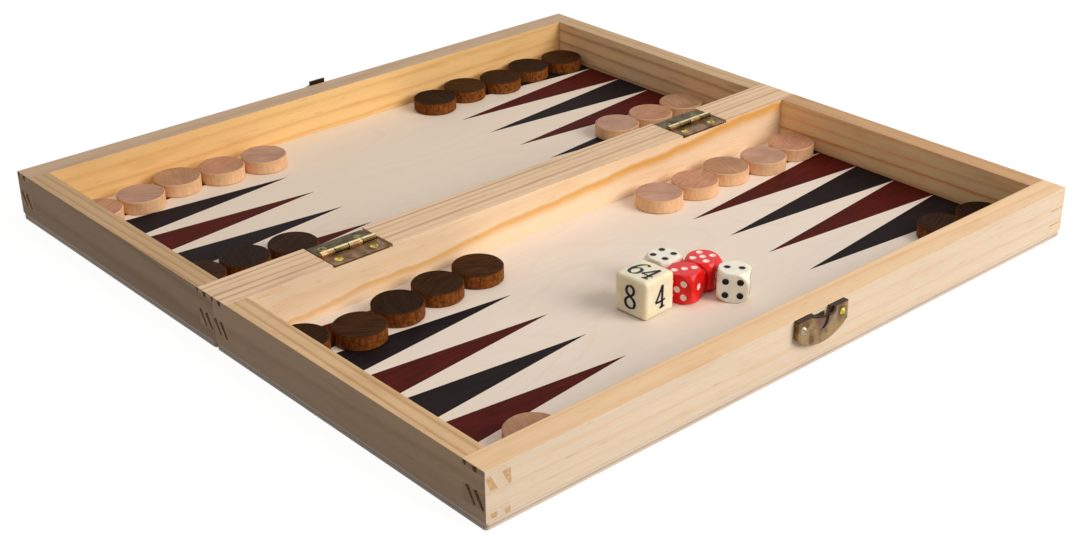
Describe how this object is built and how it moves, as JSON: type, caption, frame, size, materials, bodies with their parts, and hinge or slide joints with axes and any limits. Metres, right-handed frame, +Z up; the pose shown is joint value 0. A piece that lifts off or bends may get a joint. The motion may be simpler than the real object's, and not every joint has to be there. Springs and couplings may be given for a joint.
{
  "type": "folding game set",
  "caption": "Folding pine game case lying open as a backgammon board, set out with round wooden men, dice and a doubling cube, joined by two small hinges, with a half-round catch.",
  "frame": {"origin": "on the ground under the middle of the fold line, between the two open trays", "axes": "+X along the fold to the right, +Y from the front tray with the catch to the back tray, +Z up out of the open trays"},
  "size_m": [0.3, 0.3104, 0.0225],
  "materials": {
    "pine": "satin lacquer",
    "board_veneer": "printed and lacquered",
    "hinge_brass": "antique, satin",
    "pin_brass": "worn bright",
    "screw_brass": "bright",
    "antique_brass": "antique, satin",
    "spring_steel": "satin",
    "dark_wood": "dark stain, rough turned sides",
    "light_wood": "smooth turned",
    "ivory_plastic": "gloss",
    "red_plastic": "gloss",
    "cream_plastic": "gloss"
  },
  "bodies": {
    "front_tray": {"front_wall": "pine", "front_left_wall": "pine", "front_right_wall": "pine", "front_fold_wall": "pine", "front_panel": "board_veneer", "left_hinge_front_leaf": "hinge_brass", "left_hinge_pin": "pin_brass", "right_hinge_front_leaf": "hinge_brass", "right_hinge_pin": "pin_brass", "hinge_front_screws": "screw_brass", "catch_plate": "antique_brass", "catch_screws": "screw_brass", "catch_spring": "spring_steel"},
    "back_tray": {"back_wall": "pine", "back_left_wall": "pine", "back_right_wall": "pine", "back_fold_wall": "pine", "back_panel": "board_veneer", "left_hinge_back_leaf": "hinge_brass", "right_hinge_back_leaf": "hinge_brass", "hinge_back_screws": "screw_brass", "strike_plate": "antique_brass", "strike_screws": "screw_brass"},
    "dark_man_01": {"dark_man_01": "dark_wood"},
    "dark_man_02": {"dark_man_02": "dark_wood"},
    "dark_man_03": {"dark_man_03": "dark_wood"},
    "dark_man_04": {"dark_man_04": "dark_wood"},
    "dark_man_05": {"dark_man_05": "dark_wood"},
    "dark_man_06": {"dark_man_06": "dark_wood"},
    "dark_man_07": {"dark_man_07": "dark_wood"},
    "dark_man_08": {"dark_man_08": "dark_wood"},
    "dark_man_09": {"dark_man_09": "dark_wood"},
    "dark_man_10": {"dark_man_10": "dark_wood"},
    "dark_man_11": {"dark_man_11": "dark_wood"},
    "dark_man_12": {"dark_man_12": "dark_wood"},
    "dark_man_13": {"dark_man_13": "dark_wood"},
    "dark_man_14": {"dark_man_14": "dark_wood"},
    "dark_man_15": {"dark_man_15": "dark_wood"},
    "light_man_01": {"light_man_01": "light_wood"},
    "light_man_02": {"light_man_02": "light_wood"},
    "light_man_03": {"light_man_03": "light_wood"},
    "light_man_04": {"light_man_04": "light_wood"},
    "light_man_05": {"light_man_05": "light_wood"},
    "light_man_06": {"light_man_06": "light_wood"},
    "light_man_07": {"light_man_07": "light_wood"},
    "light_man_08": {"light_man_08": "light_wood"},
    "light_man_09": {"light_man_09": "light_wood"},
    "light_man_10": {"light_man_10": "light_wood"},
    "light_man_11": {"light_man_11": "light_wood"},
    "light_man_12": {"light_man_12": "light_wood"},
    "light_man_13": {"light_man_13": "light_wood"},
    "light_man_14": {"light_man_14": "light_wood"},
    "light_man_15": {"light_man_15": "light_wood"},
    "ivory_die_1": {"ivory_die_1": "ivory_plastic"},
    "ivory_die_2": {"ivory_die_2": "ivory_plastic"},
    "red_die_1": {"red_die_1": "red_plastic"},
    "red_die_2": {"red_die_2": "red_plastic"},
    "doubling_cube": {"doubling_cube": "cream_plastic"}
  },
  "joints": [
    {"name": "board_fold", "type": "hinge", "parent": "front_tray", "child": "back_tray", "pos_m": [0, 0, 0.0212], "axis": [-1, 0, 0], "range_deg": [-180, 0]},
    {"name": "lift_dark_man_01", "type": "slide", "parent": "front_tray", "child": "dark_man_01", "axis": [0, 0, 1], "range_m": [0, 0.06]},
    {"name": "lift_dark_man_02", "type": "slide", "parent": "front_tray", "child": "dark_man_02", "axis": [0, 0, 1], "range_m": [0, 0.06]},
    {"name": "lift_dark_man_03", "type": "slide", "parent": "front_tray", "child": "dark_man_03", "axis": [0, 0, 1], "range_m": [0, 0.06]},
    {"name": "lift_dark_man_04", "type": "slide", "parent": "front_tray", "child": "dark_man_04", "axis": [0, 0, 1], "range_m": [0, 0.06]},
    {"name": "lift_dark_man_05", "type": "slide", "parent": "front_tray", "child": "dark_man_05", "axis": [0, 0, 1], "range_m": [0, 0.06]},
    {"name": "lift_dark_man_06", "type": "slide", "parent": "front_tray", "child": "dark_man_06", "axis": [0, 0, 1], "range_m": [0, 0.06]},
    {"name": "lift_dark_man_07", "type": "slide", "parent": "front_tray", "child": "dark_man_07", "axis": [0, 0, 1], "range_m": [0, 0.06]},
    {"name": "lift_dark_man_08", "type": "slide", "parent": "back_tray", "child": "dark_man_08", "axis": [0, 0, 1], "range_m": [0, 0.06]},
    {"name": "lift_dark_man_09", "type": "slide", "parent": "back_tray", "child": "dark_man_09", "axis": [0, 0, 1], "range_m": [0, 0.06]},
    {"name": "lift_dark_man_10", "type": "slide", "parent": "back_tray", "child": "dark_man_10", "axis": [0, 0, 1], "range_m": [0, 0.06]},
    {"name": "lift_dark_man_11", "type": "slide", "parent": "back_tray", "child": "dark_man_11", "axis": [0, 0, 1], "range_m": [0, 0.06]},
    {"name": "lift_dark_man_12", "type": "slide", "parent": "back_tray", "child": "dark_man_12", "axis": [0, 0, 1], "range_m": [0, 0.06]},
    {"name": "lift_dark_man_13", "type": "slide", "parent": "back_tray", "child": "dark_man_13", "axis": [0, 0, 1], "range_m": [0, 0.06]},
    {"name": "lift_dark_man_14", "type": "slide", "parent": "back_tray", "child": "dark_man_14", "axis": [0, 0, 1], "range_m": [0, 0.06]},
    {"name": "lift_dark_man_15", "type": "slide", "parent": "back_tray", "child": "dark_man_15", "axis": [0, 0, 1], "range_m": [0, 0.06]},
    {"name": "lift_light_man_01", "type": "slide", "parent": "front_tray", "child": "light_man_01", "axis": [0, 0, 1], "range_m": [0, 0.06]},
    {"name": "lift_light_man_02", "type": "slide", "parent": "front_tray", "child": "light_man_02", "axis": [0, 0, 1], "range_m": [0, 0.06]},
    {"name": "lift_light_man_03", "type": "slide", "parent": "front_tray", "child": "light_man_03", "axis": [0, 0, 1], "range_m": [0, 0.06]},
    {"name": "lift_light_man_04", "type": "slide", "parent": "front_tray", "child": "light_man_04", "axis": [0, 0, 1], "range_m": [0, 0.06]},
    {"name": "lift_light_man_05", "type": "slide", "parent": "front_tray", "child": "light_man_05", "axis": [0, 0, 1], "range_m": [0, 0.06]},
    {"name": "lift_light_man_06", "type": "slide", "parent": "front_tray", "child": "light_man_06", "axis": [0, 0, 1], "range_m": [0, 0.06]},
    {"name": "lift_light_man_07", "type": "slide", "parent": "back_tray", "child": "light_man_07", "axis": [0, 0, 1], "range_m": [0, 0.06]},
    {"name": "lift_light_man_08", "type": "slide", "parent": "back_tray", "child": "light_man_08", "axis": [0, 0, 1], "range_m": [0, 0.06]},
    {"name": "lift_light_man_09", "type": "slide", "parent": "back_tray", "child": "light_man_09", "axis": [0, 0, 1], "range_m": [0, 0.06]},
    {"name": "lift_light_man_10", "type": "slide", "parent": "back_tray", "child": "light_man_10", "axis": [0, 0, 1], "range_m": [0, 0.06]},
    {"name": "lift_light_man_11", "type": "slide", "parent": "back_tray", "child": "light_man_11", "axis": [0, 0, 1], "range_m": [0, 0.06]},
    {"name": "lift_light_man_12", "type": "slide", "parent": "back_tray", "child": "light_man_12", "axis": [0, 0, 1], "range_m": [0, 0.06]},
    {"name": "lift_light_man_13", "type": "slide", "parent": "back_tray", "child": "light_man_13", "axis": [0, 0, 1], "range_m": [0, 0.06]},
    {"name": "lift_light_man_14", "type": "slide", "parent": "back_tray", "child": "light_man_14", "axis": [0, 0, 1], "range_m": [0, 0.06]},
    {"name": "lift_light_man_15", "type": "slide", "parent": "back_tray", "child": "light_man_15", "axis": [0, 0, 1], "range_m": [0, 0.06]},
    {"name": "lift_ivory_die_1", "type": "slide", "parent": "front_tray", "child": "ivory_die_1", "axis": [0, 0, 1], "range_m": [0, 0.06]},
    {"name": "lift_ivory_die_2", "type": "slide", "parent": "front_tray", "child": "ivory_die_2", "axis": [0, 0, 1], "range_m": [0, 0.06]},
    {"name": "lift_red_die_1", "type": "slide", "parent": "front_tray", "child": "red_die_1", "axis": [0, 0, 1], "range_m": [0, 0.06]},
    {"name": "lift_red_die_2", "type": "slide", "parent": "front_tray", "child": "red_die_2", "axis": [0, 0, 1], "range_m": [0, 0.06]},
    {"name": "lift_doubling_cube", "type": "slide", "parent": "front_tray", "child": "doubling_cube", "axis": [0, 0, 1], "range_m": [0, 0.06]}
  ]
}
